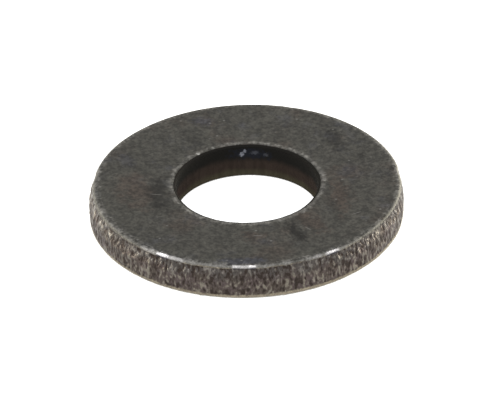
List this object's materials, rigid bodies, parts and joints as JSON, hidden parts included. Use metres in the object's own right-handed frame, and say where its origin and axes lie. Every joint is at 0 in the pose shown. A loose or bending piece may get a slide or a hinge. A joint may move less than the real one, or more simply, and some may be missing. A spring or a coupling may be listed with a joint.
{
  "type": "flat washer",
  "caption": "Flat steel washer with a round bore, rolled upper edges and a rough torn outer edge, in a dark oxide finish.",
  "frame": {"origin": "centre of the underside, on the bore axis", "axes": "+Z along the bore axis, from the underside to the upper face with the rolled edges; X and Y lie in the underside"},
  "size_m": [0.018, 0.018, 0.002],
  "materials": {
    "blackened_steel": "matt black oxide on the faces, worn lighter on the rolled edges, rough brown-grey torn metal round the outer edge"
  },
  "bodies": {
    "root": {"washer": "blackened_steel"}
  },
  "joints": []
}
